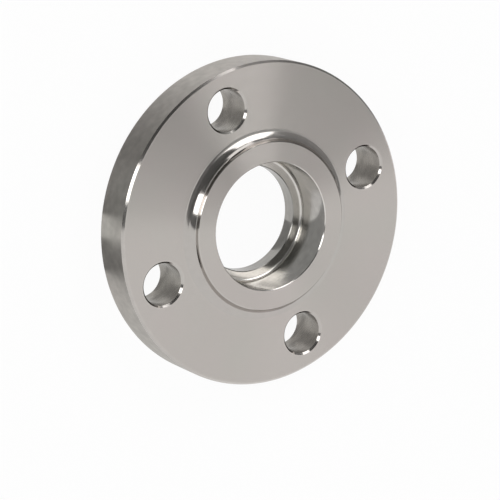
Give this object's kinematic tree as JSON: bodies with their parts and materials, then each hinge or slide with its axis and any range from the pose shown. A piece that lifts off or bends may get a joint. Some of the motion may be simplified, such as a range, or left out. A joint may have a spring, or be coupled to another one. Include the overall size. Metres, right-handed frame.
{
  "type": "socket weld flange",
  "caption": "Round raised-face pipe flange with a short filleted hub, a pipe socket with a ledge, a through bore and a circle of chamfered bolt holes.",
  "frame": {"origin": "centre of the raised face, on the pipe axis", "axes": "+Z along the pipe axis from the raised face to the hub; the bolt holes lie midway between the X and Y axes"},
  "size_m": [0.127, 0.127, 0.0224],
  "materials": {
    "turned_steel": "bright turned stainless steel: fine circular tool marks on the faces, smoother fillets, socket and bore"
  },
  "bodies": {
    "root": {"flange": "turned_steel"}
  },
  "joints": []
}
